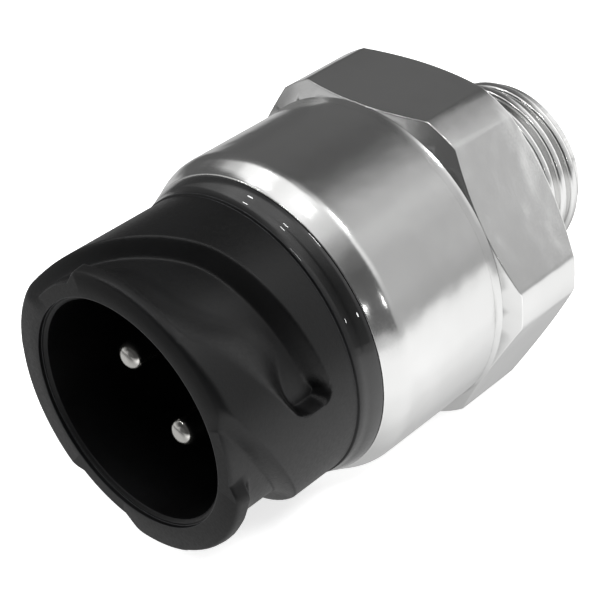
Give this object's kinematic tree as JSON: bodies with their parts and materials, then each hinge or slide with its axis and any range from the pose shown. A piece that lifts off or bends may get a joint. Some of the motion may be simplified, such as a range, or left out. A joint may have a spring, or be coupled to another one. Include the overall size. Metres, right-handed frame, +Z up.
{
  "type": "pressure sensor",
  "caption": "Pressure sensor with a threaded port, a wrench hexagon, a steel shell rolled in over a round black connector with bayonet tracks, and round contact pins in its socket.",
  "frame": {"origin": "on the axis, at the sealing face behind the wrench hexagon, where the threaded port begins", "axes": "+Y along the axis from the connector's mouth to the threaded port, +Z up and square to the hexagon flat that the sensor lies on, +X completes the frame"},
  "size_m": [0.0296, 0.045, 0.027],
  "materials": {
    "plated_steel": "satin",
    "black_plastic": "satin",
    "contact_metal": "polished",
    "leaf_bronze": "satin",
    "seal_rubber": "matte",
    "natural_plastic": "matte",
    "board_laminate": "gloss",
    "chip_plastic": "matte",
    "capacitor_ceramic": "satin",
    "resistor_film": "satin",
    "cell_ceramic": "matte",
    "lead_wire": "polished"
  },
  "bodies": {
    "root": {"sensor_body": "plated_steel", "connector_housing": "black_plastic", "contact_pin_upper": "contact_metal", "contact_pin_lower": "contact_metal", "contact_leaf_upper": "leaf_bronze", "contact_leaf_lower": "leaf_bronze", "housing_seal": "seal_rubber", "spacer_ring": "natural_plastic", "circuit_board": "board_laminate", "signal_chip": "chip_plastic", "filter_capacitor": "capacitor_ceramic", "supply_capacitor": "capacitor_ceramic", "output_capacitor": "capacitor_ceramic", "surge_diode": "chip_plastic", "trim_resistor": "resistor_film", "sense_resistor": "resistor_film", "cell_base": "cell_ceramic", "cell_diaphragm": "cell_ceramic", "cell_seal": "seal_rubber", "lead_pin_1": "lead_wire", "lead_pin_2": "lead_wire", "lead_pin_3": "lead_wire", "lead_pin_4": "lead_wire"}
  },
  "joints": []
}
